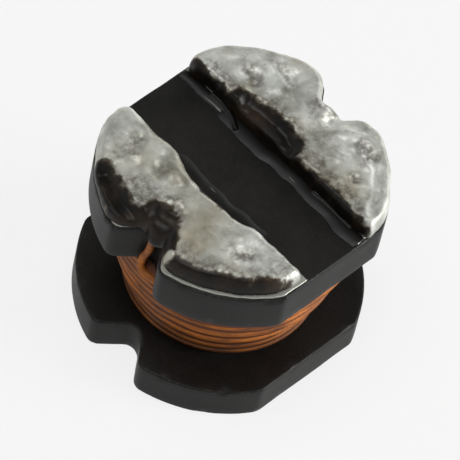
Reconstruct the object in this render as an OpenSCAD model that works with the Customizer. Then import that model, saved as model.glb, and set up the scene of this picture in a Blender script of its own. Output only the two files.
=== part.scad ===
// Surface-mount power inductor: a ferrite drum core wound with enamelled copper wire,
// whose two ends are brought through notches in the terminal flange and soldered on top.
// It stands on its plain flange, with the two solder pads facing up.

/* [Drum core] */
// Diameter of both flanges, along the line through the two wire notches
core_d = 5.8; // [5.4:0.1:7]
// Width of both flanges across their flats
core_w = 5.2; // [4.8:0.05:5.4]
// Radius of the corner where a flat runs into the round rim
flat_corner_r = 0.3; // [0.15:0.05:0.5]
// Radius of the rounding along the upper and lower edge of each rim
rim_edge_r = 0.05; // [0.02:0.01:0.15]
// Thickness of the plain flange at the bottom
plain_flange_t = 0.8; // [0.5:0.05:1.4]
// Thickness of the terminal flange at the top
terminal_flange_t = 0.95; // [0.7:0.05:1.4]
// Height of the winding space between the flanges
window_h = 2.3; // [1.6:0.05:4]
// Diameter of the post that carries the winding
post_d = 2.3; // [1.8:0.05:2.4]

/* [Wire notches] */
// Depth of each notch, from the round rim to the notch floor
notch_depth = 0.65; // [0.55:0.05:0.75]
// Radius of the notch floor
notch_floor_r = 0.3; // [0.2:0.02:0.36]
// Angle between the two flanks of a notch
notch_angle = 80; // [60:2:100]
// Radius of the rounded lip where a flank meets the rim
notch_lip_r = 0.25; // [0.1:0.05:0.4]

/* [Winding] */
// Diameter of the copper wire over its enamel
wire_d = 0.16; // [0.12:0.01:0.18]
// Inner layers that fill the whole winding space
full_layers = 6; // [4:1:7]
// Outer layers, each of them shorter than the one below it
short_layers = 4; // [2:1:5]
// Turns that each outer layer loses at the plain flange
turns_lost = 3; // [1:1:3]
// Gap between a rising wire end and the notch floor
lead_gap = 0.02; // [0.01:0.01:0.05]
// Length of each wire end that lies flat under the solder
lead_tail = 0.6; // [0.3:0.05:0.9]

/* [Terminals] */
// Width of the bare ferrite strip between the two electrodes
strip_w = 1.36; // [1:0.02:2]
// Thickness of the fired silver electrodes
electrode_t = 0.03; // [0.01:0.01:0.06]
// Height of the solder above an electrode
solder_t = 0.42; // [0.3:0.01:0.6]
// Distance from the electrode's edge to the foot of the solder, along the rim
solder_inset = 0.01; // [0:0.01:0.1]
// Distance from the electrode's edge to the foot of the solder, along the bare strip
strip_inset = 0.13; // [0.02:0.01:0.2]
// Radius of the solder's shoulder, all the way round each pad
shoulder_r = 0.2; // [0.1:0.01:0.28]
// Distance by which the solder in a notch stays below the pad's flat top
fill_dip = 0.12; // [0.02:0.01:0.2]
// Distance from the notch floor back to the middle of the solder round a wire end
fill_back = 0.06; // [0.05:0.01:0.2]
// Radius of the solder round the start of the wire
start_fill_r = 0.34; // [0.3:0.02:0.5]
// Radius of the solder round the finish of the wire
finish_fill_r = 0.3; // [0.28:0.02:0.5]

/* [Hidden] */
$fn = 96;
// Sides of the wire's section and of its turns
WIRE_FN = 16;
TURN_FN = 72;
// Straight steps round the bare side of one turn, and round an edge
RIDGE_STEPS = 5;
EDGE_STEPS = 4;
EPS = 0.01;
FAR = 2 * core_d;

core_r = core_d / 2;
post_r = post_d / 2;
wire_r = wire_d / 2;
window_bottom = plain_flange_t;
window_top = plain_flange_t + window_h;
core_h = window_top + terminal_flange_t;
electrode_top = core_h + electrode_t;
solder_top = electrode_top + solder_t;

// Turns lie in the dips of the layer below, so a layer adds less than a wire diameter
layer_step = wire_d * sin(60);
rows = floor(window_h / wire_d - 0.5);
row_pitch = window_h / (rows + 0.5);
layers = full_layers + short_layers;

// Each wire end stands against the notch floor, then bends over onto the electrode
notch_floor_x = core_r - notch_depth;
lead_x = notch_floor_x + wire_r + lead_gap;
lead_z = electrode_top + wire_r + lead_gap;
bend_r = wire_d + EPS;

// Distance from the rim to the edge of an electrode, and to the foot of the solder
electrode_edge = rim_edge_r;
solder_edge = electrode_edge + solder_inset;

// Number of turns in layer k, counted from 0 at the post
function turns(k) = rows - max(0, k - full_layers + 1) * turns_lost;

// Centre of turn j of layer k in the winding's section, counted down from the terminal flange
function turn_at(k, j) = [
    post_r + wire_r + k * layer_step,
    window_top - wire_r - (j + (k % 2) / 2) * row_pitch
];

// Turns of layer k that the next layer leaves bare
function first_bare(k) = k == layers - 1 ? 0 : turns(k + 1) - k % 2;
bare_turns = [for (k = [layers - 1 : -1 : full_layers - 1])
              for (j = [first_bare(k) : turns(k) - 1]) turn_at(k, j)];

// Unit vector at angle a
function unit(a) = [cos(a), sin(a)];

// Centre of the lip rounding that is tangent to a notch's upper flank and to the rim of radius rim
function lip_centre(rim, floor_x, half) =
    let (
        along = unit(half),
        inward = [sin(half), -cos(half)],
        start = [floor_x, 0] - notch_floor_r * inward - notch_lip_r * inward,
        s = start * along
    )
    start + along * (sqrt(s * s - start * start + pow(rim - notch_lip_r, 2)) - s);

// Outline of one notch on the +X side, cut into a flange of radius rim, with rounded lips
module notch_2d(rim, grow = 0) {
    half = notch_angle / 2;
    floor_x = notch_floor_x + notch_floor_r - grow / sin(half);
    inward = [sin(half), -cos(half)];
    floor_tangent = [floor_x, 0] - notch_floor_r * inward;
    lip = lip_centre(rim, floor_x, half);
    flank_tangent = lip + notch_lip_r * inward;
    rim_tangent = lip * rim / norm(lip);
    outside = rim_tangent * 1.2;
    upper = [floor_tangent, flank_tangent, lip, rim_tangent, outside];
    lower = [for (i = [len(upper) - 1 : -1 : 0]) [upper[i].x, -upper[i].y]];
    difference() {
        union() {
            polygon(concat(upper, lower));
            translate([floor_x, 0]) circle(notch_floor_r);
        }
        for (side = [-1, 1])
            translate([lip.x, side * lip.y]) circle(notch_lip_r);
    }
}

// Both notches, cut through everything between z = bottom and z = top
module notches(rim, bottom, top, grow = 0) {
    for (turn = [0, 180])
        rotate(turn)
            translate([0, 0, bottom - EPS])
                linear_extrude(top - bottom + 2 * EPS)
                    notch_2d(rim, grow);
}

// Points of an arc about centre from angle a to angle b
function arc(centre, r, a, b) =
    r == 0 ? [centre] : [for (s = [0 : EDGE_STEPS]) centre + r * unit(a + (b - a) * s / EDGE_STEPS)];

// Rectangle from [0, 0] to [w, h] whose two right-hand corners are rounded
module edge_2d(w, h, top_r, bottom_r = 0) {
    polygon(concat(
        [[0, 0]],
        arc([w - bottom_r, bottom_r], bottom_r, -90, 0),
        arc([w - top_r, h - top_r], top_r, 0, 90),
        [[0, h]]
    ));
}

// Plate of thickness t, round at radius r with flats at y = +-flat_y, and rounded along its edges
module flatted_disc(r, flat_y, t, top_r, bottom_r = 0) {
    intersection() {
        rotate_extrude() edge_2d(r, t, top_r, bottom_r);
        for (side = [0, 1])
            mirror([0, side, 0])
                rotate([90, 0, 90])
                    linear_extrude(FAR, center = true)
                        edge_2d(flat_y, t, top_r, bottom_r);
    }
}

// One flange: a round plate with two flats, rounded corners and two wire notches
module flange(t) {
    corner = [
        sqrt(pow(core_r - flat_corner_r, 2) - pow(core_w / 2 - flat_corner_r, 2)),
        core_w / 2 - flat_corner_r
    ];
    on_rim = corner * core_r / norm(corner);
    difference() {
        union() {
            difference() {
                flatted_disc(core_r, core_w / 2, t, rim_edge_r, rim_edge_r);
                for (x = [0, 1], y = [0, 1])
                    mirror([x, 0, 0]) mirror([0, y, 0])
                        translate([0, 0, -EPS])
                            linear_extrude(t + 2 * EPS)
                                polygon([corner, on_rim, 1.1 * on_rim, [corner.x, 1.1 * on_rim.y]]);
            }
            for (x = [-1, 1], y = [-1, 1])
                translate([x * corner.x, y * corner.y, 0])
                    rotate_extrude() edge_2d(flat_corner_r, t, rim_edge_r, rim_edge_r);
        }
        notches(core_r, 0, t);
    }
}

module drum_core() {
    color([0.21, 0.21, 0.21]) {
        flange(plain_flange_t);
        translate([0, 0, window_top]) flange(terminal_flange_t);
        cylinder(r = post_r, h = core_h);
    }
}

// One wire end, which leaves the outermost turn, rises through the notch and bends inwards
module lead() {
    outer_turn = bare_turns[0];
    // Along the flange, from the outermost turn to the notch floor
    translate([min(outer_turn.x, lead_x), 0, outer_turn.y])
        rotate([0, 90, 0])
            cylinder(r = wire_r, h = abs(outer_turn.x - lead_x), $fn = WIRE_FN);
    translate([lead_x, 0, outer_turn.y])
        sphere(wire_r * 1.02, $fn = WIRE_FN);
    // Up through the notch
    translate([lead_x, 0, outer_turn.y])
        cylinder(r = wire_r, h = lead_z - bend_r - outer_turn.y, $fn = WIRE_FN);
    // The bend
    translate([lead_x - bend_r, 0, lead_z - bend_r])
        rotate([90, 0, 0])
            rotate_extrude(angle = 90, $fn = TURN_FN)
                translate([bend_r, 0]) circle(wire_r, $fn = WIRE_FN);
    // The tail that lies under the solder
    translate([lead_x - bend_r, 0, lead_z])
        rotate([0, -90, 0])
            cylinder(r = wire_r, h = lead_tail, $fn = WIRE_FN);
}
module start_lead() lead();
module finish_lead() rotate(180) lead();

// Outline of the bare side of turn i, from its upper neighbour round to its lower one
function ridge(i) =
    let (
        steps_out = i > 0 && bare_turns[i - 1].x > bare_turns[i].x + EPS,
        steps_in = i < len(bare_turns) - 1 && bare_turns[i + 1].x < bare_turns[i].x - EPS,
        from = steps_out ? 25 : 75,
        to = steps_in ? -145 : -75
    )
    [for (s = [0 : RIDGE_STEPS])
        bare_turns[i] + wire_r * unit(from + (to - from) * s / RIDGE_STEPS)];

// The turns as one body of revolution, with a ridge for every bare turn
module turns_body() {
    first = bare_turns[0];
    last = bare_turns[len(bare_turns) - 1];
    rotate_extrude($fn = TURN_FN)
        polygon(concat(
            [[post_r, window_bottom], [post_r, window_top], [first.x, window_top]],
            [for (i = [0 : len(bare_turns) - 1]) each ridge(i)],
            [[last.x, window_bottom]]
        ));
}

module winding() {
    color([0.62, 0.41, 0.19]) {
        turns_body();
        start_lead();
        finish_lead();
    }
}

// One electrode: the terminal flange's outline beside the bare strip, kept off its edges
module electrode() {
    edge_r = core_r - electrode_edge;
    edge_y = core_w / 2 - electrode_edge;
    color([0.78, 0.78, 0.75])
        translate([0, 0, core_h])
            linear_extrude(electrode_t)
                difference() {
                    intersection() {
                        circle(edge_r);
                        translate([strip_w / 2, -edge_y]) square([core_r, 2 * edge_y]);
                    }
                    notch_2d(edge_r, electrode_edge);
                }
}
module start_electrode() electrode();
module finish_electrode() rotate(180) electrode();

// Solder that has run into the notch round the wire, up to just below the pad
module notch_fill(fill_r) {
    centre = [notch_floor_x - fill_back, 0, solder_top - fill_dip - fill_r];
    intersection() {
        translate(centre) sphere(fill_r);
        union() {
            translate([0, 0, centre.z - fill_r])
                linear_extrude(electrode_top - centre.z + fill_r) notch_2d(core_r);
            translate([0, 0, electrode_top])
                cylinder(r = core_r - solder_edge, h = solder_t);
        }
    }
}

// One solder pad: flat on top, with a round shoulder, wrapped round its wire end
module solder(fill_r) {
    strip_side = strip_w / 2 + strip_inset;
    color([0.56, 0.56, 0.53])
        difference() {
            union() {
                translate([0, 0, electrode_top]) difference() {
                    intersection() {
                        flatted_disc(core_r - solder_edge, core_w / 2 - solder_edge,
                                     solder_t, shoulder_r);
                        translate([strip_side + core_d, 0, 0])
                            rotate([90, 0, 0])
                                linear_extrude(FAR, center = true)
                                    mirror([1, 0]) edge_2d(core_d, solder_t, shoulder_r);
                    }
                    notches(core_r - solder_edge, 0, solder_t, solder_edge);
                }
                notch_fill(fill_r);
            }
            lead();
        }
}
module start_solder() solder(start_fill_r);
module finish_solder() rotate(180) solder(finish_fill_r);

drum_core();
winding();
start_electrode();
finish_electrode();
start_solder();
finish_solder();
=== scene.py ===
"""Surface-mount power inductor: a ferrite drum core wound with enamelled copper wire, with
both wire ends brought through notches in the terminal flange and soldered on top of it."""

import math
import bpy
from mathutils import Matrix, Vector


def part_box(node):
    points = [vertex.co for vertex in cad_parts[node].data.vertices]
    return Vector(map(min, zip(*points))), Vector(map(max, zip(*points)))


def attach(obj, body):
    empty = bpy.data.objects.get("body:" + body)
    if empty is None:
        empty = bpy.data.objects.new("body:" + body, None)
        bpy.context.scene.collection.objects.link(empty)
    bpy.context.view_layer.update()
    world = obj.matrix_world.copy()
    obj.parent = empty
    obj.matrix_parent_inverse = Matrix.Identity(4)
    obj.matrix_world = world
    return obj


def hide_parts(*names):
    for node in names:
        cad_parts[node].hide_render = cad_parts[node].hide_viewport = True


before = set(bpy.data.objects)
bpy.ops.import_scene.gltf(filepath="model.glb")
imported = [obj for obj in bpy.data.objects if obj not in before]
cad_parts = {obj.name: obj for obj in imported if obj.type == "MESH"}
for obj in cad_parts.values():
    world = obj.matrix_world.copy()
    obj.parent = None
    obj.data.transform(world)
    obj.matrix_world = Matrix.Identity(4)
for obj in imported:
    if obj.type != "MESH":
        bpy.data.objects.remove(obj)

from types import SimpleNamespace

import bpy
import numpy as np
from bpy.props import FloatProperty, FloatVectorProperty, IntProperty, PointerProperty
from mathutils import Matrix, Vector

bl_info = {
    "name": "Drum Core Inductor",
    "version": (1, 0, 0),
    "blender": (4, 5, 0),
    "location": "View3D > Sidebar > Inductor",
    "description": "Builds a wire-wound surface-mount inductor, one operator for each piece",
    "category": "Add Mesh",
}

MM = 0.001


# ---------------------------------------------------------------- Sizes and colours

def linear(hex_colour):
    """Linear RGB of an sRGB hex colour."""
    channels = [int(hex_colour[i:i + 2], 16) / 255 for i in (1, 3, 5)]
    return [c / 12.92 if c <= 0.04045 else ((c + 0.055) / 1.055) ** 2.4 for c in channels]


def length(name, description, default):
    """Length property, with its default in millimetres."""
    return FloatProperty(name=name, description=description, default=default * MM,
                         min=0, precision=5, unit="LENGTH")


def colour(name, description, hex_colour):
    """Colour property, with its default as an sRGB hex value."""
    return FloatVectorProperty(name=name, description=description, size=3, min=0, max=1,
                               default=linear(hex_colour), subtype="COLOR")


def box_mm(node):
    """Lowest and highest corners of a CAD node, in millimetres."""
    return [Vector(corner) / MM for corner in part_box(node)]


# Heights of the finished faces, in millimetres
CORE_TOP = box_mm("drum_core")[1].z
ELECTRODE_TOP = box_mm("start_electrode")[1].z
SOLDER_TOP = box_mm("start_solder")[1].z
# How far a film or pad reaches down into what it lies on, so that no gap shows
ROOT = 0.012


class CoreSizes(bpy.types.PropertyGroup):
    """Sizes of the ferrite drum core."""
    diameter: length("Diameter", "Diameter of both flanges", 5.8)
    width: length("Width", "Width of both flanges across their flats", 5.2)
    corner: length("Corner", "Radius where a flat runs into the round rim", 0.3)
    edge: length("Edge", "Radius along the upper and lower edge of each rim", 0.05)
    plain_flange: length("Plain flange", "Thickness of the flange at the bottom", 0.8)
    terminal_flange: length("Terminal flange", "Thickness of the flange at the top", 0.95)
    post: length("Post", "Diameter of the post inside the winding", 2.3)
    notch_depth: length("Notch depth", "From the rim to the floor of a wire notch", 0.65)
    notch_floor: length("Notch floor", "Radius of a notch's floor", 0.3)
    notch_lip: length("Notch lip", "Radius where a notch's flank meets the rim", 0.25)
    notch_angle: FloatProperty(name="Notch angle", description="Angle between a notch's flanks",
                               default=math.radians(80), subtype="ANGLE")
    wear: length("Edge wear", "Deepest wear along the rounded edges", 0.03)


class WindingSizes(bpy.types.PropertyGroup):
    """Sizes of the copper winding."""
    wire: length("Wire", "Diameter of the wire over its enamel", 0.16)
    full_layers: IntProperty(name="Full layers", default=6, min=1,
                             description="Inner layers that fill the whole winding space")
    short_layers: IntProperty(name="Short layers", default=4, min=1,
                              description="Outer layers, each shorter than the one below")
    turns_lost: IntProperty(name="Turns lost", default=3, min=1,
                            description="Turns that each outer layer loses at the plain flange")
    lead_gap: length("Lead gap", "Gap between a rising wire end and the notch floor", 0.02)
    tail: length("Tail", "Length of each wire end that lies under the solder", 0.6)
    wobble: length("Wobble", "How far a turn strays from its place", 0.008)
    groove_fill: length("Groove fill", "Height of the enamel between turns, over their centres",
                        0.057)
    seed: IntProperty(name="Seed", default=5, description="Seed of the wobble")


class SolderSizes(bpy.types.PropertyGroup):
    """Sizes of the electrodes, the solder and the flux left on it."""
    strip: length("Bare strip", "Width of the bare ferrite between the electrodes", 1.36)
    lumps: length("Lumps", "Height of the lumps on top of the pads", 0.03)
    bead: length("Flux bead", "Thickness of the raised beads on the flux", 0.07)
    seed: IntProperty(name="Seed", default=11, description="Seed of the lumps")


class Finishes(bpy.types.PropertyGroup):
    """Colours of the materials."""
    ferrite: colour("Ferrite", "Sintered ferrite", "#0E0C0B")
    ferrite_worn: colour("Ferrite, worn", "Ferrite rubbed bare along the edges", "#42433F")
    ferrite_light: colour("Ferrite, light", "Lighter grains of the ferrite", "#191816")
    copper: colour("Copper", "Copper seen through its amber enamel", "#BC6C1A")
    # Also painted on the grooves between turns, for thicker enamel there and as painted shade in
    # the creases
    copper_dark: colour("Copper, dark", "Enamel where it lies thicker", "#582A0A")
    # Painted shade: this colour darkens the lowest turns of the winding, towards the plain flange
    foot_shade_colour: colour("Foot_shade", "Dark varnish at the foot of the winding", "#24120A")
    silver: colour("Silver", "Fired silver paste", "#B9BAB2")
    solder: colour("Solder", "Dull solder", "#8F9187")
    solder_warm: colour("Solder, warm", "Solder yellowed by flux", "#9C9580")
    solder_light: colour("Solder, light", "Brighter patches of the solder", "#D6D8D1")
    stain_and_shade: colour("Stain", "Thin burnt flux on the solder", "#4F4535")
    flux: colour("Flux", "Thick hardened rosin flux", "#090705")
    flux_thin: colour("Flux, thin", "Brown where the hardened flux is thinner", "#2B2117")
    floor: colour("Floor", "Floor and wall of the studio", "#DADADA")


GROUPS = {
    "inductor_core": CoreSizes,
    "inductor_winding": WindingSizes,
    "inductor_solder": SolderSizes,
    "inductor_finishes": Finishes,
}


def sizes(group_name):
    """Values of a property group, with its lengths in millimetres."""
    group = getattr(bpy.context.scene, group_name)
    values = {}
    for key, prop in group.bl_rna.properties.items():
        if key not in ("rna_type", "name"):
            value = getattr(group, key)
            values[key] = value / MM if prop.unit == "LENGTH" else value
    return SimpleNamespace(**values)


# ---------------------------------------------------------------- Shapes

def polar(radius, degrees, centre=(0, 0)):
    """Points of a circle at the given angles."""
    a = np.radians(degrees)
    return np.stack([centre[0] + radius * np.cos(a), centre[1] + radius * np.sin(a)], axis=-1)


def ripple(points, wavelength, seed, waves=14):
    """Smooth noise, about -1 to 1, from plane waves in seeded directions."""
    rng = np.random.default_rng(seed)
    directions = rng.normal(size=(waves, len(points)))
    directions /= np.linalg.norm(directions, axis=1)[:, None]
    total = 0
    for direction, phase, stretch in zip(directions, rng.uniform(0, 2 * np.pi, waves),
                                         rng.uniform(0.7, 1.4, waves)):
        along = sum(d * p for d, p in zip(direction, points))
        total = total + np.sin(2 * np.pi * stretch / wavelength * along + phase)
    return total / math.sqrt(waves)


def smooth_step(x):
    """0 below 0, 1 above 1, and a smooth rise between them."""
    t = np.clip(x, 0, 1)
    return t * t * (3 - 2 * t)


def soft_max(a, b, k):
    """Larger of a and b, with the crease between them rounded over k."""
    h = np.maximum(k - np.abs(a - b), 0)
    return np.maximum(a, b) + h * h / (4 * k)


def soft_min(a, b, k):
    """Smaller of a and b, with the crease between them rounded over k."""
    return -soft_max(-a, -b, k)


def path_distance(u, v, path):
    """Distance in plan from (u, v) to a path of straight runs."""
    nearest = np.inf
    ends = path[1:] if len(path) > 1 else path
    for (u0, v0), (u1, v1) in zip(path, ends):
        run = max((u1 - u0) ** 2 + (v1 - v0) ** 2, 1e-9)
        t = np.clip(((u - u0) * (u1 - u0) + (v - v0) * (v1 - v0)) / run, 0, 1)
        nearest = np.minimum(nearest, np.hypot(u - u0 - t * (u1 - u0), v - v0 - t * (v1 - v0)))
    return nearest


def smooth_path(corners, step):
    """Even points along a smooth curve through the corners."""
    p = np.array(corners, float)
    p = np.vstack([2 * p[0] - p[1], p, 2 * p[-1] - p[-2]])
    curve = []
    for a, b, c, d in zip(p, p[1:], p[2:], p[3:]):
        for t in np.linspace(0, 1, math.ceil(np.linalg.norm(c - b) / step), endpoint=False):
            curve.append(0.5 * (2 * b + (c - a) * t + (2 * a - 5 * b + 4 * c - d) * t ** 2
                                + (3 * b - a - 3 * c + d) * t ** 3))
    return np.array(curve + [p[-2]])


def make_piece(name, points, faces, material, edges=()):
    """Object at the origin, from points in millimetres."""
    mesh = bpy.data.meshes.new(name)
    mesh.from_pydata((np.asarray(points) * MM).tolist(), list(edges), [list(f) for f in faces])
    mesh.validate()
    for face in mesh.polygons:
        face.use_smooth = True
    mesh.materials.append(material)
    piece = bpy.data.objects.new(name, mesh)
    bpy.context.scene.collection.objects.link(piece)
    return piece


def ring_faces(index):
    """Faces between rows of point numbers, each row a closed ring, with outward normals where
    the rings go round counter-clockwise and upwards."""
    after = np.roll(index, -1, axis=1)
    return np.stack([index[:-1], after[:-1], after[1:], index[1:]],
                    axis=-1).reshape(-1, 4).tolist()


def paint(piece, name, values):
    """Stores one value for each point of a piece, for its material to read."""
    layer = piece.data.attributes.new(name, "FLOAT", "POINT")
    layer.data.foreach_set("value", np.asarray(values, np.float32))


def hand_over(piece, slot, *nodes):
    """Rides a finished piece on the body, in place of its CAD nodes. Its slot is not used."""
    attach(piece, "root")
    if nodes:
        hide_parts(*nodes)


def surface(field, low, high, cell):
    """Points and faces of the closed surface where field(x, y, z) is 0, negative inside."""
    axes = [np.arange(a - cell, b + 2 * cell, cell) for a, b in zip(low, high)]
    value = field(axes[0][:, None, None], axes[1][None, :, None], axes[2][None, None, :])
    cells = tuple(len(a) - 1 for a in axes)
    total, count, crossings = np.zeros(cells + (3,)), np.zeros(cells), []
    for axis in range(3):
        p, q = (axis + 1) % 3, (axis + 2) % 3
        near = np.take(value, range(cells[axis]), axis)
        far = np.take(value, range(1, cells[axis] + 1), axis)
        i = np.argwhere((near < 0) != (far < 0))
        a, b = near[tuple(i.T)], far[tuple(i.T)]
        point = i.astype(float)
        point[:, axis] += a / (a - b)
        around = []
        for back in ((0, 0), (1, 0), (1, 1), (0, 1)):
            beside = i.copy()
            beside[:, p] -= back[0]
            beside[:, q] -= back[1]
            around.append(tuple(beside.T))
            np.add.at(total, around[-1], point)
            np.add.at(count, around[-1], 1)
        crossings.append((around, a < 0))
    number = np.cumsum(count.ravel() > 0).reshape(cells) - 1
    used = count > 0
    points = total[used] / count[used][:, None] * cell + [a[0] for a in axes]
    faces = []
    for around, leaves in crossings:
        quads = np.stack([number[c] for c in around], axis=1)
        quads[~leaves] = quads[~leaves][:, ::-1]
        faces.append(quads)
    # Each point is drawn onto the surface itself, a few short moves along the field's slope
    small, moves = cell * 0.05, 5
    for _ in range(moves):
        here = field(*points.T)
        slope = np.stack([(field(*(points + small * axis).T) - here) / small
                          for axis in np.eye(3)], axis=1)
        move = slope * (here / np.maximum((slope ** 2).sum(1), 1e-3))[:, None]
        reach = np.maximum(np.linalg.norm(move, axis=1) / (0.4 * cell), 1)
        points -= move / reach[:, None]
    return points, np.vstack(faces)


# ---------------------------------------------------------------- Materials

def connect(node, inputs):
    """Sets inputs of a node, by name or number, to values, sockets or the results of nodes."""
    for key, value in inputs.items():
        socket = node.inputs[key] if isinstance(key, int) else next(
            item for item in node.inputs if item.enabled and item.name == key)
        if isinstance(value, bpy.types.Node):
            value = next(item for item in value.outputs if item.enabled)
        if isinstance(value, bpy.types.NodeSocket):
            node.id_data.links.new(value, socket)
        else:
            socket.default_value = value


def add_node(tree, kind, inputs=None, **settings):
    """Node with its settings, and its inputs set or linked."""
    node = tree.nodes.new(kind)
    for key, value in settings.items():
        setattr(node, key, value)
    connect(node, inputs or {})
    return node


def rgba(value):
    """Colour with full alpha."""
    return (*value, 1)


def per_mm(size):
    """Scale of a pattern on Object coordinates whose features are size millimetres."""
    return 1 / (size * MM)


def new_material(name):
    """Material with a Principled shader, and its tree, shader and Object coordinates."""
    material = bpy.data.materials.new(name)
    material.use_nodes = True
    tree = material.node_tree
    shader = tree.nodes["Principled BSDF"]
    place = add_node(tree, "ShaderNodeTexCoord").outputs["Object"]
    return material, tree, shader, place


def sintered_ferrite():
    """Nickel-zinc ferrite, pressed, sintered and tumbled: near black, matt and faintly
    mottled, with a fine grit that catches light on its rims."""
    look = sizes("inductor_finishes")
    material, tree, shader, place = new_material("sintered_ferrite")
    cloud = add_node(tree, "ShaderNodeTexNoise", {
        "Vector": place, "Scale": per_mm(0.9), "Detail": 5, "Roughness": 0.6})
    # Real grains are 0.01 mm; they are drawn at 0.06 mm so that they show
    grain = add_node(tree, "ShaderNodeTexNoise", {
        "Vector": place, "Scale": per_mm(0.06), "Detail": 3})
    patches = add_node(tree, "ShaderNodeMapRange", {
        "Value": cloud, "From Min": 0.35, "From Max": 0.7})
    specks = add_node(tree, "ShaderNodeMapRange", {
        "Value": grain, "From Min": 0.45, "From Max": 0.8})
    share = add_node(tree, "ShaderNodeMath", {
        0: patches, 1: specks}, operation="ADD", use_clamp=True)
    tint = add_node(tree, "ShaderNodeMix", {
        "Factor": share, "A": rgba(look.ferrite), "B": rgba(look.ferrite_light)}, data_type="RGBA")
    worn = add_node(tree, "ShaderNodeAttribute", attribute_name="worn").outputs["Fac"]
    rubbed = add_node(tree, "ShaderNodeMath", {
        0: worn, 1: specks}, operation="MULTIPLY", use_clamp=True)
    edges = add_node(tree, "ShaderNodeMix", {
        "Factor": rubbed, "A": tint, "B": rgba(look.ferrite_worn)}, data_type="RGBA")
    matt = add_node(tree, "ShaderNodeMapRange", {"Value": cloud, "To Min": 0.42, "To Max": 0.58})
    grit = add_node(tree, "ShaderNodeBump", {
        "Height": grain, "Strength": 0.35, "Distance": 0.01 * MM})
    connect(shader, {"Base Color": edges, "Roughness": matt, "Normal": grit, "IOR": 1.3})
    return material


def enamelled_copper():
    """Drawn copper wire in polyurethane enamel, its turns bonded to each other: warm amber
    metal with a satin sheen, darker at random where the enamel is thick, and darker on the
    groove surface between turns, for thicker enamel there and as painted shade in the creases."""
    look, core = sizes("inductor_finishes"), sizes("inductor_core")
    material, tree, shader, place = new_material("enamelled_copper")
    stretch = add_node(tree, "ShaderNodeMapping", {"Vector": place, "Scale": (1, 1, 5)})
    tone = add_node(tree, "ShaderNodeTexNoise", {
        "Vector": stretch, "Scale": per_mm(0.8), "Detail": 5, "Roughness": 0.6})
    share = add_node(tree, "ShaderNodeMapRange", {
        "Value": tone, "From Min": 0.36, "From Max": 0.68})
    # The groove surface between the turns is painted darker: thicker enamel there, and painted
    # shade in the creases
    between = add_node(tree, "ShaderNodeAttribute", attribute_name="groove_enamel_and_shade").outputs["Fac"]
    shade = add_node(tree, "ShaderNodeMath", {
        0: share, 1: between}, operation="MAXIMUM", use_clamp=True)
    tint = add_node(tree, "ShaderNodeMix", {
        "Factor": shade, "A": rgba(look.copper), "B": rgba(look.copper_dark)}, data_type="RGBA")
    # Painted shade: the lowest turns are darkened, and the darkening fades out 0.55 mm above the
    # plain flange
    axes = add_node(tree, "ShaderNodeSeparateXYZ", {"Vector": place})
    # Share of the painted shade, full at the plain flange
    foot_shade_share = add_node(tree, "ShaderNodeMapRange", {
        "Value": axes.outputs["Z"], "From Min": (core.plain_flange + 0.55) * MM,
        "From Max": core.plain_flange * MM, "To Max": 0.7})
    tint = add_node(tree, "ShaderNodeMix", {
        "Factor": foot_shade_share, "A": tint, "B": rgba(look.foot_shade_colour)}, data_type="RGBA")
    drawn = add_node(tree, "ShaderNodeTexNoise", {
        "Vector": place, "Scale": per_mm(0.1), "Detail": 3})
    uneven = add_node(tree, "ShaderNodeMapRange", {"Value": drawn, "To Min": 0.5, "To Max": 0.66})
    skin = add_node(tree, "ShaderNodeBump", {
        "Height": drawn, "Strength": 0.25, "Distance": 0.01 * MM})
    connect(shader, {"Base Color": tint, "Roughness": uneven, "Normal": skin, "Metallic": 0.15})
    return material


def fired_silver():
    """Silver paste, printed and fired: a pale, finely grained metal film."""
    look = sizes("inductor_finishes")
    material, tree, shader, place = new_material("fired_silver")
    grain = add_node(tree, "ShaderNodeTexNoise", {
        "Vector": place, "Scale": per_mm(0.08), "Detail": 4})
    rough = add_node(tree, "ShaderNodeMapRange", {"Value": grain, "To Min": 0.35, "To Max": 0.6})
    tint = add_node(tree, "ShaderNodeMix", {
        "Factor": grain, "A": rgba(look.silver), "B": rgba(look.solder)}, data_type="RGBA")
    grit = add_node(tree, "ShaderNodeBump", {
        "Height": grain, "Strength": 0.4, "Distance": 0.01 * MM})
    connect(shader, {"Base Color": tint, "Roughness": rough, "Normal": grit, "Metallic": 0.8})
    return material


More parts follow.
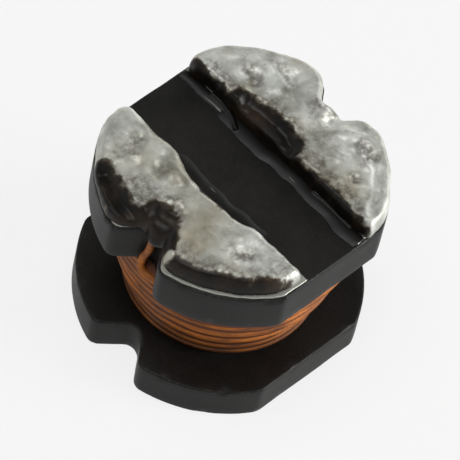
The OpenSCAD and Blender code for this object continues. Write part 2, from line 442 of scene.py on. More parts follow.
def tin_lead_solder():
    """Hand-dipped solder that has gone dull: grey-white, clouded and frosted, with brown
    stains of burnt flux, and smooth near-black flux on the slopes, which is real flux and also
    painted dark reflection of the steep solder; the solder in the notches is darkened with painted
    shade."""
    look = sizes("inductor_finishes")
    material, tree, shader, place = new_material("tin_lead_solder")
    # Flux mask: real flux residue, painted dark reflection on the steep solder slopes, and painted
    # shade in the notches
    flux_and_dark_reflection = add_node(tree, "ShaderNodeAttribute", attribute_name="flux").outputs["Fac"]
    stain_and_shade = add_node(tree, "ShaderNodeAttribute", attribute_name="stain_and_shade").outputs["Fac"]
    cloud = add_node(tree, "ShaderNodeTexNoise", {
        "Vector": place, "Scale": per_mm(0.6), "Detail": 6, "Roughness": 0.6, "Distortion": 0.25})
    frost = add_node(tree, "ShaderNodeTexNoise", {
        "Vector": place, "Scale": per_mm(0.11), "Detail": 4, "Roughness": 0.6})
    patches = add_node(tree, "ShaderNodeMapRange", {
        "Value": cloud, "From Min": 0.32, "From Max": 0.6})
    metal = add_node(tree, "ShaderNodeMix", {
        "Factor": patches, "A": rgba(look.solder), "B": rgba(look.solder_light)}, data_type="RGBA")
    haze = add_node(tree, "ShaderNodeTexNoise", {
        "Vector": place, "Scale": per_mm(1.3), "Detail": 3})
    warmth = add_node(tree, "ShaderNodeMapRange", {
        "Value": haze, "From Min": 0.45, "From Max": 0.7, "To Max": 0.8})
    metal = add_node(tree, "ShaderNodeMix", {
        "Factor": warmth, "A": metal, "B": rgba(look.solder_warm)}, data_type="RGBA")
    # Dark pinholes, less than 0.1 mm across
    holes = add_node(tree, "ShaderNodeMapRange", {
        "Value": frost, "From Min": 0.36, "From Max": 0.25})
    dirty = add_node(tree, "ShaderNodeMath", {0: holes, 1: 0.5}, operation="MULTIPLY")
    burnt = add_node(tree, "ShaderNodeMapRange", {
        "Value": frost, "From Min": 0.34, "From Max": 0.6})
    stained = add_node(tree, "ShaderNodeMath", {0: stain_and_shade, 1: burnt}, operation="MULTIPLY")
    soiled = add_node(tree, "ShaderNodeMath", {
        0: stained, 1: dirty}, operation="MAXIMUM", use_clamp=True)
    brown = add_node(tree, "ShaderNodeMix", {
        "Factor": soiled, "A": metal, "B": rgba(look.stain_and_shade)}, data_type="RGBA")
    # The flux mask ends in a broken edge, brown where it is thin and black beyond. It is real
    # flux, and also painted dark reflection on the steep slopes and painted shade in the notches
    broken = add_node(tree, "ShaderNodeMapRange", {
        "Value": frost, "From Min": 0.3, "From Max": 0.7, "To Min": -0.22, "To Max": 0.22})
    edge = add_node(tree, "ShaderNodeMath", {0: flux_and_dark_reflection, 1: broken})
    thin = add_node(tree, "ShaderNodeMapRange", {"Value": edge, "From Min": 0.15, "From Max": 0.6})
    thick = add_node(tree, "ShaderNodeMapRange", {
        "Value": edge, "From Min": 0.35, "From Max": 0.85})
    faded = add_node(tree, "ShaderNodeMix", {
        "Factor": thin, "A": brown, "B": rgba(look.stain_and_shade)}, data_type="RGBA")
    veil = add_node(tree, "ShaderNodeMapRange", {
        "Value": cloud, "From Min": 0.42, "From Max": 0.72})
    pool = add_node(tree, "ShaderNodeMix", {
        "Factor": veil, "A": rgba(look.flux), "B": rgba(look.flux_thin)}, data_type="RGBA")
    tint = add_node(tree, "ShaderNodeMix", {
        "Factor": thick, "A": faded, "B": pool}, data_type="RGBA")
    metallic = add_node(tree, "ShaderNodeMapRange", {"Value": thin, "To Min": 0.6, "To Max": 0.0})
    dull = add_node(tree, "ShaderNodeMapRange", {"Value": frost, "To Min": 0.34, "To Max": 0.58})
    rough = add_node(tree, "ShaderNodeMix", {"Factor": thick, "A": dull, "B": 0.4})
    depth = add_node(tree, "ShaderNodeMapRange", {"Value": thick, "To Min": 0.4, "To Max": 0.15})
    pits = add_node(tree, "ShaderNodeBump", {
        "Height": frost, "Strength": depth, "Distance": 0.02 * MM})
    connect(shader, {
        "Base Color": tint, "Metallic": metallic, "Roughness": rough, "Normal": pits, "IOR": 1.3})
    return material


def rosin_flux():
    """Rosin flux that has hardened to a near-black brown glass: glossy, with soft waves."""
    look = sizes("inductor_finishes")
    material, tree, shader, place = new_material("rosin_flux")
    waves = add_node(tree, "ShaderNodeTexNoise", {"Vector": place, "Scale": per_mm(0.4)})
    rough = add_node(tree, "ShaderNodeMapRange", {"Value": waves, "To Min": 0.3, "To Max": 0.5})
    tint = add_node(tree, "ShaderNodeMix", {
        "Factor": waves, "A": rgba(look.flux), "B": rgba(look.ferrite)}, data_type="RGBA")
    connect(shader, {"Base Color": tint, "Roughness": rough, "IOR": 1.35})
    return material


# ---------------------------------------------------------------- Ferrite core

def notch_frame(core):
    """Centre of the +X notch's floor, its upper flank's direction, and its lip's centre."""
    half = core.notch_angle / 2
    floor_x = core.diameter / 2 - core.notch_depth + core.notch_floor
    along = Vector((math.cos(half), math.sin(half)))
    inward = Vector((math.sin(half), -math.cos(half)))
    start = Vector((floor_x, 0)) - (core.notch_floor + core.notch_lip) * inward
    s = start.dot(along)
    reach = core.diameter / 2 - core.notch_lip
    lip = start + along * (math.sqrt(s * s - start.length_squared + reach ** 2) - s)
    return floor_x, along, inward, lip


def flange_outline(core, inset):
    """Points round a flange, counter-clockwise from the +X notch, drawn in by inset."""
    floor_x, along, inward, lip = notch_frame(core)
    half = math.degrees(core.notch_angle / 2)
    rim, flat = core.diameter / 2, core.width / 2
    corner = Vector((math.sqrt((rim - core.corner) ** 2 - (flat - core.corner) ** 2),
                     flat - core.corner))
    lip_angle = math.degrees(math.atan2(lip.y, lip.x))
    corner_angle = math.degrees(math.atan2(corner.y, corner.x))
    floor_arc = polar(core.notch_floor + inset, np.linspace(180, 90 + half, 12), (floor_x, 0))
    lip_arc = polar(core.notch_lip - inset, np.linspace(half - 90, lip_angle, 16), lip)
    quarter = np.concatenate([
        floor_arc,
        np.linspace(floor_arc[-1], lip_arc[0], 7)[1:-1],
        lip_arc,
        polar(rim - inset, np.linspace(lip_angle, corner_angle, 50)[1:-1]),
        polar(core.corner - inset, np.linspace(corner_angle, 90, 12), corner),
        np.linspace((corner.x, flat - inset), (0, flat - inset), 18)[1:],
    ])
    half_way = np.concatenate([quarter, (quarter * [-1, 1])[::-1][1:]])[:-1]
    return np.concatenate([half_way, -half_way])


def core_rings(core):
    """Rings of points from the bottom's middle to the top's, and how exposed each one is."""
    face = flange_outline(core, core.edge)
    angles = np.degrees(np.arctan2(face[:, 1], face[:, 0]))
    post, hub = polar(core.post / 2, angles), face * 0.02
    rings = []

    def across(start, end, z, steps):
        for t in np.linspace(0, 1, steps):
            rings.append((start * (1 - t) + end * t, z, 0))

    def rim(bottom, top):
        low, high = bottom + core.edge, top - core.edge
        heights = [(low, turn) for turn in range(-75, 1, 15)]
        heights += [(z, 0) for z in np.linspace(low, high, 6)[1:-1]]
        heights += [(high, turn) for turn in range(0, 76, 15)]
        for z, turn in heights:
            a = math.radians(turn)
            rings.append((flange_outline(core, core.edge * (1 - math.cos(a))),
                          z + core.edge * math.sin(a), math.sin(2 * abs(a))))

    window_top = CORE_TOP - core.terminal_flange
    across(hub, face, 0, 10)
    rim(0, core.plain_flange)
    across(face, post, core.plain_flange, 12)
    across(post, face, window_top, 12)
    rim(window_top, CORE_TOP)
    across(face, hub, CORE_TOP, 24)
    return rings


class INDUCTOR_OT_core(bpy.types.Operator):
    """Ferrite drum core with two flatted and notched flanges and worn edges"""
    bl_idname = "inductor.core"
    bl_label = "Ferrite Core"

    def execute(self, context):
        core = sizes("inductor_core")
        rings = core_rings(core)
        count = len(rings[0][0])
        points = np.concatenate([np.column_stack([flat, np.full(count, z)])
                                 for flat, z, _ in rings])
        exposed = np.repeat([wear for _, _, wear in rings], count)
        points = np.vstack([points, [(0, 0, 0), (0, 0, CORE_TOP)]])
        exposed = np.append(exposed, [0, 0])
        index = np.arange(len(rings) * count).reshape(len(rings), count)
        faces = ring_faces(index)
        bottom, top = len(points) - 2, len(points) - 1
        faces += [(bottom, b, a) for a, b in zip(index[0], np.roll(index[0], -1))]
        faces += [(top, a, b) for a, b in zip(index[-1], np.roll(index[-1], -1))]
        piece = make_piece("ferrite_core", points, faces, sintered_ferrite())
        mesh = piece.data
        normals = np.zeros(len(points) * 3, np.float32)
        mesh.vertices.foreach_get("normal", normals)
        normals = normals.reshape(-1, 3)
        place = points.T
        uneven = 0.003 * (1 + ripple(place, 1.1, 3)).clip(0)
        chips = core.wear * (ripple(place, 0.5, 8) + 0.4 * ripple(place, 0.16, 9) - 0.7).clip(0, 1)
        points = points - normals * (uneven + exposed * chips)[:, None]
        mesh.vertices.foreach_set("co", (points * MM).astype(np.float32).ravel())
        mesh.update()
        paint(piece, "worn", exposed * (0.5 + 0.5 * ripple(place, 0.7, 12)).clip(0, 1))
        hand_over(piece, "ferrite", "drum_core")
        return {"FINISHED"}


# ---------------------------------------------------------------- Winding

def winding_rows(core, wire):
    """Height of one turn, and number of turns that fill the winding space."""
    window = CORE_TOP - core.terminal_flange - core.plain_flange
    rows = int(window / wire.wire - 0.5)
    return window / (rows + 0.5), rows


def turns_in(core, wire, layer):
    """Number of turns in a layer, counted from 0 at the post."""
    _, rows = winding_rows(core, wire)
    return rows - max(0, layer - wire.full_layers + 1) * wire.turns_lost


def turn_centre(core, wire, layer, row):
    """Radius and height of a turn's centre, counted down from the terminal flange. It lies in
    the dip between two turns of the layer below."""
    pitch, _ = winding_rows(core, wire)
    step = wire.wire * math.sin(math.radians(60))
    return (core.post / 2 + wire.wire / 2 + layer * step,
            CORE_TOP - core.terminal_flange - wire.wire / 2 - (row + layer % 2 / 2) * pitch)


def wire_runs(core, wire):
    """Centre lines of the outer layers, wound in one run up to the finish end's bend over
    its electrode, and of the start end."""
    inner, last = wire.full_layers - 1, wire.full_layers + wire.short_layers - 1
    stops = []
    for layer in range(inner, last + 1):
        # The run starts at the terminal flange, and its last layer ends there
        rows = range(turns_in(core, wire, layer))
        if layer > inner and (last - layer) % 2 == 0:
            rows = rows[::-1]
        stops += [turn_centre(core, wire, layer, row) for row in rows]
    # Every turn lies level, and steps over to the next one in the same short stretch
    crossing, crossing_width, last_turn, per_turn = 55, 50, 205, 96
    run = []
    for i, (radius, z) in enumerate(stops):
        before = stops[max(i - 1, 0)]
        angles = np.linspace(0, 360, per_turn, endpoint=False)
        if i == len(stops) - 1:
            angles = angles[angles < last_turn]
        shift = smooth_step(angles / crossing_width)
        r = before[0] + (radius - before[0]) * shift
        h = before[1] + (z - before[1]) * shift
        run.append(np.column_stack([polar(r, crossing - angles), h]))
    run = np.vstack(run)

    outer = core.diameter / 2
    lead_x = outer - core.notch_depth + wire.wire / 2 + wire.lead_gap
    lead_z = ELECTRODE_TOP + wire.wire / 2 + wire.lead_gap
    bend = wire.wire + 0.01
    over = [(lead_x - bend * (1 - math.cos(a)), 0, lead_z - bend * (1 - math.sin(a)))
            for a in np.radians([0, 30, 60, 90])]
    over.append((lead_x - bend - wire.tail, 0, lead_z))
    over = np.array(over)
    radius, z = stops[-1]
    # The finish end leaves the last turn and rises up its notch
    finish = [run[-3], run[-1], (-radius + 0.07, -0.32, z + 0.05), (-radius, 0.02, z + 0.13),
              (-lead_x - 0.06, 0.11, z + 0.34), (-lead_x, 0.05, z + 0.6),
              (-lead_x, 0.01, z + 0.9)]
    finish = smooth_path(finish + list(over * [-1, 1, 1]), 0.03)
    # The start end comes up beside the last turn and rises up the other notch
    start = [(radius - 0.05, -0.8, z + 0.05), (radius - 0.05, -0.4, z + 0.07),
             (radius - 0.03, -0.08, z + 0.17), (lead_x + 0.04, 0.02, z + 0.4),
             (lead_x, 0, z + 0.8)]
    start = smooth_path(start + list(over), 0.03)
    return [np.vstack([run[:-3], finish]), start]


def wire_tree(material):
    """Node tree that sweeps round wire along a mesh path, with a seeded wobble."""
    tree = bpy.data.node_groups.new("wound_wire", "GeometryNodeTree")
    socket = tree.interface.new_socket
    socket("Path", in_out="INPUT", socket_type="NodeSocketGeometry")
    for name, default in (("Wire Diameter", 0.16 * MM), ("Wobble", 0.01 * MM),
                          ("Wobble Length", 1.5 * MM)):
        socket(name, in_out="INPUT", socket_type="NodeSocketFloat").default_value = default
    for name, default in (("Sides", 10), ("Seed", 1)):
        socket(name, in_out="INPUT", socket_type="NodeSocketInt").default_value = default
    socket("Wire", in_out="OUTPUT", socket_type="NodeSocketGeometry")
    given = add_node(tree, "NodeGroupInput").outputs
    curve = add_node(tree, "GeometryNodeMeshToCurve", {"Mesh": given["Path"]})
    scale = add_node(tree, "ShaderNodeMath", {
        0: 1.0, 1: given["Wobble Length"]}, operation="DIVIDE")
    place = add_node(tree, "GeometryNodeInputPosition")
    noise = add_node(tree, "ShaderNodeTexNoise", {
        "Vector": place, "W": given["Seed"], "Scale": scale, "Detail": 1.0}, noise_dimensions="4D")
    centred = add_node(tree, "ShaderNodeVectorMath", {
        0: noise.outputs["Color"], 1: (0.5, 0.5, 0.5)}, operation="SUBTRACT")
    stray = add_node(tree, "ShaderNodeVectorMath", {
        0: centred, "Scale": given["Wobble"]}, operation="SCALE")
    moved = add_node(tree, "GeometryNodeSetPosition", {"Geometry": curve, "Offset": stray})
    radius = add_node(tree, "ShaderNodeMath", {
        0: given["Wire Diameter"], 1: 0.5}, operation="MULTIPLY")
    ring = add_node(tree, "GeometryNodeCurvePrimitiveCircle", {
        "Resolution": given["Sides"], "Radius": radius})
    swept = add_node(tree, "GeometryNodeCurveToMesh", {
        "Curve": moved, "Profile Curve": ring, "Fill Caps": True})
    smooth = add_node(tree, "GeometryNodeSetShadeSmooth", {"Geometry": swept})
    real = add_node(tree, "GeometryNodeRealizeInstances", {"Geometry": smooth})
    made = add_node(tree, "GeometryNodeSetMaterial", {"Geometry": real, "Material": material})
    add_node(tree, "NodeGroupOutput", {"Wire": made})
    return tree


class INDUCTOR_OT_winding(bpy.types.Operator):
    """Stepped copper winding, one run of wire with its two ends brought up the notches"""
    bl_idname = "inductor.winding"
    bl_label = "Copper Winding"

    def execute(self, context):
        core, wire = sizes("inductor_core"), sizes("inductor_winding")
        material = enamelled_copper()
        points, edges = [], []
        for run in wire_runs(core, wire):
            first = len(points)
            points += run.tolist()
            edges += [(i, i + 1) for i in range(first, len(points) - 1)]
        path = make_piece("wire_path", points, [], material, edges)
        tree = wire_tree(material)
        modifier = path.modifiers.new("wound_wire", "NODES")
        modifier.node_group = tree
        # The noise strays by up to half the wobble to either side
        values = {"Wire Diameter": wire.wire * MM, "Wobble": 2 * wire.wobble * MM,
                  "Wobble Length": 1.6 * MM, "Sides": 12, "Seed": wire.seed}
        for item in tree.interface.items_tree:
            if item.name in values:
                modifier[item.identifier] = values[item.name]
        context.view_layer.update()
        wound = path.evaluated_get(context.evaluated_depsgraph_get())
        mesh = bpy.data.meshes.new_from_object(wound)
        points = np.zeros(len(mesh.vertices) * 3, np.float32)
        mesh.vertices.foreach_get("co", points)
        points = points.reshape(-1, 3) / MM
        faces = [tuple(face.vertices) for face in mesh.polygons]
        bpy.data.objects.remove(path)

        # The layers below, bonded with enamel, fill the grooves between the turns. The last
        # layer is part of one turn, so nothing fills in beside it.
        inner, last = wire.full_layers - 1, wire.full_layers + wire.short_layers - 1
        hub, top = core.post / 2 - 0.02, CORE_TOP - core.terminal_flange
        profile = []
        for layer in range(inner, last):
            covered = turns_in(core, wire, layer + 1) - layer % 2 if layer + 1 < last else 0
            for row in range(turns_in(core, wire, layer) - 1, covered - 1, -1):
                radius, z = turn_centre(core, wire, layer, row)
                profile.append((radius + wire.groove_fill, z))
        profile = [(hub, core.plain_flange), (profile[0][0], core.plain_flange), *profile,
                   (profile[-1][0], top), (hub, top)]
        around = np.linspace(0, 360, 96, endpoint=False)
        first = len(points)
        for radius, z in profile:
            points = np.vstack([points, np.column_stack([polar(radius, around),
                                                         np.full(len(around), z)])])
        index = first + np.arange(len(profile) * len(around)).reshape(len(profile), -1)
        faces += ring_faces(np.vstack([index, index[:1]]))
        piece = make_piece("copper_winding", points, faces, material)
        # Marks the groove surface, which the material paints darker: thicker enamel, and painted
        # shade in the creases
        paint(piece, "groove_enamel_and_shade", np.arange(len(points)) >= first)
        hand_over(piece, "enamelled_copper", "winding")
        return {"FINISHED"}


# ---------------------------------------------------------------- Electrodes

class INDUCTOR_OT_electrodes(bpy.types.Operator):
    """Two fired silver films under the solder, with slightly ragged printed edges"""
    bl_idname = "inductor.electrodes"
    bl_label = "Silver Electrodes"

    def execute(self, context):
        core, pads = sizes("inductor_core"), sizes("inductor_solder")
        material = fired_silver()
        outline = flange_outline(core, core.edge)
        margin, bevel = 0.006, 0.012
        for name, side in (("start_electrode", 1), ("finish_electrode", -1)):
            half = outline[outline[:, 0] * side > pads.strip / 2]
            turn = np.arctan2(half[:, 1] * side, half[:, 0] * side)
            half = half[np.argsort(turn)]
            low, high = half[0], half[-1]
            inner = side * pads.strip / 2
            strip = np.linspace((inner, high[1]), (inner, low[1]), 90)
            loop = np.concatenate([half, strip])
            ragged = margin * ripple(loop.T, 0.4, 21 + side).clip(-1)
            outward = loop - loop.mean(axis=0)
            outward /= np.linalg.norm(outward, axis=1)[:, None]
            loop = loop - outward * (margin + ragged)[:, None]
            rings = [np.column_stack([loop - outward * draw, np.full(len(loop), z)])
                     for draw, z in ((0, CORE_TOP - 0.01), (0, CORE_TOP + 0.012),
                                     (bevel, ELECTRODE_TOP))]
            index = np.arange(len(rings) * len(loop)).reshape(len(rings), -1)
            faces = ring_faces(index) + [index[0][::-1].tolist(), index[-1].tolist()]
            piece = make_piece("silver_" + name, np.vstack(rings), faces, material)
            for face in piece.data.polygons:
                face.use_smooth = False
            hand_over(piece, "fired_silver", name)
        return {"FINISHED"}


# ---------------------------------------------------------------- Solder and flux

# Places on a pad are (outwards from the strip, along the strip), in millimetres.
# foot, strip_foot: from the rim and from the electrode's edge to the solder's foot.
# relief: path, radius, height. spread: path, radius, reach. Other marks: path, radius, strength.
START_PAD = SimpleNamespace(
    side=1, foot=0.012, strip_foot=0.17, shoulder=0.16, drop=0.0, fill_r=0.2, spread=[],
    relief=[([(1.02, 1.0), (1.08, 0.5), (1.08, 0.05), (0.98, -0.25)], 0.26, -0.15),
            ([(1.55, 1.62), (1.58, 1.42), (1.42, 1.22)], 0.2, -0.05),
            ([(2.15, 1.66), (2.19, 1.4), (2.08, 1.08), (2.03, 0.8), (1.88, 0.53)], 0.13, -0.035),
            ([(2.17, -1.1), (2.09, -1.34), (1.95, -1.68), (1.54, -2.1), (1.2, -2.3)], 0.13, -0.04),
            ([(1.46, -1.54)], 0.12, -0.03), ([(1.9, -1.4), (1.5, -1.9)], 1.0, -0.06),
            ([(1.0, 2.45), (1.6, 2.3), (2.2, 1.8), (2.5, 1.2)], 0.3, 0.03),
            ([(2.2, -0.1), (1.7, -0.1), (1.2, -0.1)], 0.35, -0.06),
            ([(2.15, -0.25), (2.35, -0.4), (2.6, -0.75)], 0.28, -0.16)],
    # Flux marks: real flux residue, and painted dark reflection where the solder slopes steeply
    flux=[([(0.8, 2.4), (0.82, 1.7), (0.84, 1.2)], 0.15, 1),
          ([(0.9, 1.15), (1.0, 0.7), (1.03, 0.2), (0.97, -0.15)], 0.33, 1),
          ([(0.8, -0.3), (0.78, -0.9), (0.82, -1.3), (0.84, -1.7), (0.8, -2.1), (0.78, -2.5)],
           0.16, 1)],
    bare=[],
    stain_and_shade=[([(1.5, 1.3), (1.58, 1.45), (1.6, 1.65)], 0.16, 0.7),
           ([(2.17, -1.1), (2.09, -1.34)], 0.17, 0.8), ([(1.46, -1.54)], 0.15, 0.8),
           ([(1.3, 0.8), (1.35, 0.2), (1.15, -0.5), (1.08, -1.3), (1.0, -2.0)], 0.22, 0.7),
           ([(1.02, 2.1), (1.05, 1.5)], 0.2, 0.6), ([(1.7, -0.3), (1.5, -0.9)], 0.25, 0.4),
           ([(2.1, 1.6), (2.15, 1.3), (2.0, 0.8)], 0.12, 0.5),
           # The last stain darkens the solder at the notch: painted shade
           ([(2.15, 0.05), (2.4, 0)], 0.3, 0.7)],
)
FINISH_PAD = SimpleNamespace(
    side=-1, foot=0.11, strip_foot=0.08, shoulder=0.24, drop=0.06, fill_r=0.27,
    spread=[([(1.1, 2.6), (1.9, 2.2), (2.35, 1.7), (2.65, 1.1), (2.78, 0.6)], 0.4, 0.1)],
    relief=[([(1.2, 0.3), (1.15, 1.0)], 0.14, 0.02),
            ([(1.5, 0.4), (1.45, 1.0)], 0.22, -0.035),
            ([(1.2, 1.7), (1.42, 1.6)], 0.16, -0.03),
            ([(1.53, -1.36), (1.36, -1.6), (1.55, -1.52)], 0.16, -0.035),
            ([(1.95, 0.0), (2.3, 0.05)], 0.32, -0.12),
            ([(2.5, 0.5), (2.48, 0.8), (2.38, 1.2), (2.25, 1.55)], 0.24, -0.2),
            ([(2.56, -0.62)], 0.11, 0.08)],
    # Flux marks: real flux residue, and painted dark reflection where the solder slopes steeply
    flux=[([(2.72, -0.75), (2.5, -1.3), (2.18, -1.8), (1.82, -2.16), (1.45, -2.42)], 0.2, 1),
          ([(1.45, -2.42), (1.1, -2.55)], 0.12, 0.75),
          ([(2.12, 0.05), (2.45, -0.1)], 0.34, 1), ([(2.2, -0.2), (2.45, -0.45)], 0.2, 1),
          ([(2.1, 0.3), (2.5, 0.4)], 0.2, 1),
          ([(2.56, 0.35), (2.52, 0.8), (2.42, 1.2), (2.3, 1.6)], 0.28, 1),
          ([(0.85, 0.6), (0.95, 0.05), (0.9, -0.7)], 0.13, 1)],
    bare=[([(2.56, -0.62)], 0.1, 1)],
    stain_and_shade=[([(1.25, 1.75), (1.5, 1.6), (1.7, 1.75)], 0.17, 0.6), ([(1.5, 2.1)], 0.15, 0.4),
           ([(1.53, -1.36), (1.36, -1.6)], 0.17, 0.7), ([(1.08, -2.2), (1.4, -2.3)], 0.24, 0.6),
           ([(2.0, 0.9), (1.95, 0.5), (1.8, 0.1)], 0.3, 0.7),
           ([(1.3, 0.95), (1.25, 0.5)], 0.16, 0.5),
           ([(2.3, -0.75), (2.3, -1.1), (2.0, -1.6), (1.5, -2.1)], 0.2, 0.6)],
)
# Where a pad's edge draws back from the strip: path, radius, reach
DRAWN_BACK = {1: [], -1: [([(0.9, 0.25), (0.9, -0.45)], 0.75, 0.2)]}


def touched(u, v, marks, ragged=0.0):
    """Strength, 0 to 1, of the marks at (u, v)."""
    total = 0
    for path, radius, strength in marks:
        reach = (radius + ragged - path_distance(u, v, path)) / (0.5 * radius + 0.1) + 0.5
        total = np.maximum(total, strength * smooth_step(reach))
    return total


def raised(u, v, marks):
    """Height added at (u, v) by marks that fade out at 1.2 times their radius."""
    total = 0
    for path, radius, height in marks:
        total = total + height * smooth_step(1.2 - path_distance(u, v, path) / radius)
    return total


def notch_distance(core, u, v):
    """Distance in plan to the wire notch, negative inside it."""
    floor_x, along, _, _ = notch_frame(core)
    ahead = (u - floor_x) * along.x + np.abs(v) * along.y
    aside = np.abs(v) * along.x - (u - floor_x) * along.y
    return np.where(ahead > 0, aside, np.hypot(u - floor_x, v)) - core.notch_floor


def pad_plan(core, pads, pad, u, v):
    """Distance in plan to the foot of a solder pad, negative under the solder."""
    wander = (0.012 * ripple((u, v), 0.8, pads.seed + pad.side)
              + 0.003 * ripple((u, v), 0.26, pads.seed + 3 + pad.side))
    foot = pad.foot - raised(u, v, pad.spread)
    rim = np.hypot(u, v) - (core.diameter / 2 - foot)
    flat = np.abs(v) - (core.width / 2 - foot)
    strip = pads.strip / 2 + pad.strip_foot + raised(u, v, DRAWN_BACK[pad.side]) - u
    body = soft_max(soft_max(rim, flat, 0.2) + wander, strip + 2 * wander, 0.15)
    return soft_max(body, 0.035 - notch_distance(core, u, v), 0.3)


def solder_field(core, pads, pad):
    """Field of one solder pad and of the solder that has run into its notch."""
    base, fill_back, fill_dip, squareness = ELECTRODE_TOP - ROOT, 0.06, 0.12, 2.6
    fill_x = core.diameter / 2 - core.notch_depth - fill_back
    fill_z = SOLDER_TOP - fill_dip - pad.fill_r

    def field(x, y, z):
        u, v = pad.side * x, y
        plan = pad_plan(core, pads, pad, u, v)
        lumps = (0.6 * ripple((u, v), 1.3, pads.seed + 7 * pad.side)
                 + 0.4 * ripple((u, v), 0.6, pads.seed + 20 + pad.side)
                 + 0.15 * ripple((u, v), 0.25, pads.seed + 30 + pad.side))
        lumps = lumps * (0.3 + 0.7 * smooth_step(-plan / 0.5))
        top = SOLDER_TOP - 0.01 - pad.drop + pads.lumps * lumps + raised(u, v, pad.relief)
        rise = soft_min(top, SOLDER_TOP, 0.03) - base
        out = np.maximum(plan + pad.shoulder, 0) / pad.shoulder
        up = np.maximum(z - base, 0) / rise
        dome = (out ** squareness + up ** squareness) ** (1 / squareness) - 1
        dome = np.maximum(dome * np.minimum(pad.shoulder, rise), base - z)
        ball = np.sqrt((u - fill_x) ** 2 + v ** 2 + (z - fill_z) ** 2) - pad.fill_r
        ball = ball + 0.03 * ripple((x, y, z), 0.4, pads.seed + 60 + pad.side)
        room = np.minimum(notch_distance(core, u, v) - 0.01, ELECTRODE_TOP - z)
        ball = np.maximum(ball, room)
        return soft_min(dome, ball, 0.2)

    return field


class INDUCTOR_OT_solder(bpy.types.Operator):
    """Two lumpy solder pads with dark flux on their slopes, which also stands in as painted dark
    reflection of the steep solder
    """
    bl_idname = "inductor.solder"
    bl_label = "Solder Pads"

    def execute(self, context):
        core, pads = sizes("inductor_core"), sizes("inductor_solder")
        material = tin_lead_solder()
        for name, pad in (("start_solder", START_PAD), ("finish_solder", FINISH_PAD)):
            low, high = box_mm(name)
            points, faces = surface(solder_field(core, pads, pad),
                                    (low.x - 0.2, low.y - 0.1, low.z - 0.06),
                                    (high.x + 0.2, high.y + 0.1, SOLDER_TOP), 0.03)
            piece = make_piece("lumpy_" + name, points, faces, material)
            u, v, z = points[:, 0] * pad.side, points[:, 1], points[:, 2]
            ragged = 0.025 * ripple(points.T, 0.35, 40 + pad.side)
            # Flux mask: real flux residue, and painted dark reflection on the steep slopes
            flux = touched(u, v, pad.flux, ragged) * (1 - touched(u, v, pad.bare))
            # Painted shade: the solder deep in each notch gets the flux colour
            notch_shade = smooth_step((ELECTRODE_TOP + 0.04 - z) / 0.06) * (
                notch_distance(core, u, v) < 0.05)
            # The flux attribute carries real flux, painted dark reflection, and painted shade in
            # the notch
            paint(piece, "flux", np.maximum(flux, notch_shade))
            # Stains: burnt flux, and painted shade at the start pad's notch
            paint(piece, "stain_and_shade", touched(u, v, pad.stain_and_shade, ragged))
            hand_over(piece, "solder", name)
        return {"FINISHED"}


# Flux on the strip: path, half-width and thickness of each run, and path of each bead on it
FLUX_RUNS = [
    ([(0.76, 2.5), (0.78, 1.9), (0.8, 1.4)], 0.17, 0.045),
    ([(0.8, 1.3), (0.76, 0.85), (0.74, 0.35), (0.78, -0.15), (0.82, -0.6)], 0.25, 0.045),
    ([(0.82, -0.6), (0.8, -1.1), (0.78, -1.7), (0.75, -2.2), (0.75, -2.45)], 0.25, 0.045),
    ([(-0.76, 1.0), (-0.8, 0.5), (-0.84, 0.05), (-0.8, -0.5), (-0.76, -1.2)], 0.26, 0.045),
]
FLUX_BEADS = [[(0.847, 1.78), (0.85, 1.53), (0.8, 1.24), (0.73, 1.05), (0.64, 0.9)],
              [(0.84, -1.15), (0.87, -1.41), (0.87, -1.7), (0.86, -2.15)]]


class INDUCTOR_OT_flux(bpy.types.Operator):
    """Thin hardened flux that has run out over the bare strip, with two raised beads"""
    bl_idname = "inductor.flux"
    bl_label = "Flux Residue"

    def execute(self, context):
        core, pads = sizes("inductor_core"), sizes("inductor_solder")
        base, side = CORE_TOP - ROOT, core.width / 2 - core.edge - 0.01

        def field(x, y, z):
            stray = 0.02 * ripple((x, y), 0.7, 61)
            height = 0
            for path, wide, thick in FLUX_RUNS:
                beside = path_distance(x, y, path) / (wide + stray)
                height = np.maximum(height, (thick + ROOT) * (1 - beside ** 2))
            film = (z - base - height) * 0.8
            for path in FLUX_BEADS:
                bead = np.hypot(path_distance(x, y, path), z - base - 0.06) - pads.bead / 2
                film = soft_min(film, bead, 0.04)
            return np.maximum(np.maximum(film, base + 0.006 - z), np.abs(y) - side)

        points, faces = surface(field, (-1.2, -2.58, base), (1.2, 2.58, base + 0.14), 0.016)
        piece = make_piece("flux_film", points, faces, rosin_flux())
        hand_over(piece, "solder")
        return {"FINISHED"}


# ---------------------------------------------------------------- Stage

def add_lamp(name, azimuth, elevation, distance, size, radiance):
    """Soft square lamp aimed at the part, its distance and size in metres, out of the
    camera's sight."""
    data = bpy.data.lights.new(name, "AREA")
    data.shape, data.size = "SQUARE", size
    data.energy = radiance * math.pi * size ** 2
    lamp = bpy.data.objects.new(name, data)
    a, e = math.radians(azimuth), math.radians(elevation)
    away = Vector((math.sin(a) * math.cos(e), -math.cos(a) * math.cos(e), math.sin(e)))
    lamp.location = away * distance
    lamp.rotation_mode = "QUATERNION"
    lamp.rotation_quaternion = away.to_track_quat("Z", "Y")
    lamp.visible_camera = False
    bpy.context.scene.collection.objects.link(lamp)


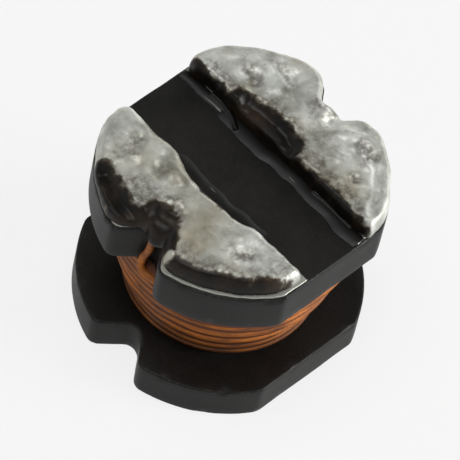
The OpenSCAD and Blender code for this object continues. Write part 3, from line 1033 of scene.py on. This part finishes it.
def studio_card():
    """Matt white studio board: it shows as white, and keeps part of the part's shadow."""
    look = sizes("inductor_finishes")
    material = bpy.data.materials.new("matt_studio_board")
    material.use_nodes = True
    tree = material.node_tree
    tree.nodes.clear()
    rays = add_node(tree, "ShaderNodeLightPath").outputs
    seen = add_node(tree, "ShaderNodeMath", {
        0: rays["Is Camera Ray"], 1: rays["Is Glossy Ray"]}, operation="MAXIMUM")
    seen = add_node(tree, "ShaderNodeMath", {
        0: seen, 1: rays["Is Transmission Ray"]}, operation="MAXIMUM")
    # To the eye and in reflections it is four parts white and one part lit board, which
    # carries the shadow
    share = add_node(tree, "ShaderNodeMath", {0: seen, 1: 0.8}, operation="MULTIPLY")
    board = add_node(tree, "ShaderNodeBsdfDiffuse", {"Color": rgba(look.floor)})
    white = add_node(tree, "ShaderNodeEmission", {"Color": (1, 1, 1, 1), "Strength": 1.0})
    both = add_node(tree, "ShaderNodeMixShader", {0: share, 1: board, 2: white})
    add_node(tree, "ShaderNodeOutputMaterial", {"Surface": both})
    return material


class INDUCTOR_OT_stage(bpy.types.Operator):
    """Pale round studio with soft lamps, and the camera"""
    bl_idname = "inductor.stage"
    bl_label = "Stage"

    def execute(self, context):
        scene = context.scene
        # Floor just below the part's foot, curving up into a wall all the way round
        wall, wall_top, bend, drop = 380, 260, 80, 0.002
        profile = [(wall, wall_top),
                   *polar(bend, np.linspace(0, -90, 9)[:-1], (wall - bend, bend)),
                   (wall - bend, -drop), (60, -drop), (0.001, -drop)]
        around = np.linspace(0, 360, 64, endpoint=False)
        points = np.vstack([np.column_stack([polar(radius, around), np.full(64, z)])
                            for radius, z in profile])
        faces = ring_faces(np.arange(len(points)).reshape(len(profile), 64))
        board = make_piece("studio_floor", points, faces, studio_card())

        add_lamp("key_lamp", 38, 17, 0.25, 0.11, 16.5)
        add_lamp("top_lamp", 240, 80, 0.28, 0.16, 4.6)
        add_lamp("rim_lamp", 105, 14, 0.28, 0.12, 1.7)
        world = bpy.data.worlds.new("soft_studio")
        world.use_nodes = True
        sky = world.node_tree.nodes["Background"]
        sky.inputs["Color"].default_value = (1, 1, 1, 1)
        sky.inputs["Strength"].default_value = 0.12
        scene.world = world

        # The camera looks from azimuth 306, elevation 55, and leans a little to its left
        azimuth, elevation, lean = map(math.radians, (53.70, 54.58, 13.17))
        target, distance = Vector((0, 0, 2.209)) * MM, 95.86 * MM
        ahead = Vector((math.sin(azimuth) * math.cos(elevation),
                        math.cos(azimuth) * math.cos(elevation), -math.sin(elevation)))
        level = Vector((math.cos(azimuth), -math.sin(azimuth), 0))
        upright = level.cross(ahead)
        right = math.cos(lean) * level + math.sin(lean) * upright
        up = math.cos(lean) * upright - math.sin(lean) * level
        data = bpy.data.cameras.new("camera")
        data.sensor_width, data.lens = 36, 382.0
        data.clip_start, data.clip_end = 0.005, 5
        camera = bpy.data.objects.new("camera", data)
        camera.matrix_world = Matrix.Translation(target - ahead * distance) @ Matrix(
            (right, up, -ahead)).transposed().to_4x4()
        scene.collection.objects.link(camera)
        scene.camera = camera
        scene.view_settings.view_transform = "Standard"
        return {"FINISHED"}


# ---------------------------------------------------------------- Panel and registration

OPERATORS = (INDUCTOR_OT_stage, INDUCTOR_OT_core, INDUCTOR_OT_winding,
             INDUCTOR_OT_electrodes, INDUCTOR_OT_solder, INDUCTOR_OT_flux)


class INDUCTOR_PT_panel(bpy.types.Panel):
    """Sizes, colours and pieces of the inductor"""
    bl_idname = "INDUCTOR_PT_panel"
    bl_label = "Drum Core Inductor"
    bl_space_type = "VIEW_3D"
    bl_region_type = "UI"
    bl_category = "Inductor"

    def draw(self, context):
        for group_name, group_class in GROUPS.items():
            box = self.layout.box()
            box.label(text=group_class.__doc__)
            group = getattr(context.scene, group_name)
            for key in group_class.__annotations__:
                box.prop(group, key)
        for operator in OPERATORS:
            self.layout.operator(operator.bl_idname)


CLASSES = (*GROUPS.values(), *OPERATORS, INDUCTOR_PT_panel)


def register():
    """Adds the operators, the panel and the sizes to the program."""
    for item in CLASSES:
        bpy.utils.register_class(item)
    for group_name, group_class in GROUPS.items():
        setattr(bpy.types.Scene, group_name, PointerProperty(type=group_class))


def unregister():
    """Takes them out again."""
    for group_name in GROUPS:
        delattr(bpy.types.Scene, group_name)
    for item in reversed(CLASSES):
        bpy.utils.unregister_class(item)


def main():
    """Builds the part on its stage."""
    register()
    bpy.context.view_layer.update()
    bpy.ops.inductor.stage()
    bpy.ops.inductor.core()
    bpy.ops.inductor.winding()
    bpy.ops.inductor.electrodes()
    bpy.ops.inductor.solder()
    bpy.ops.inductor.flux()


if __name__ == "__main__":
    main()
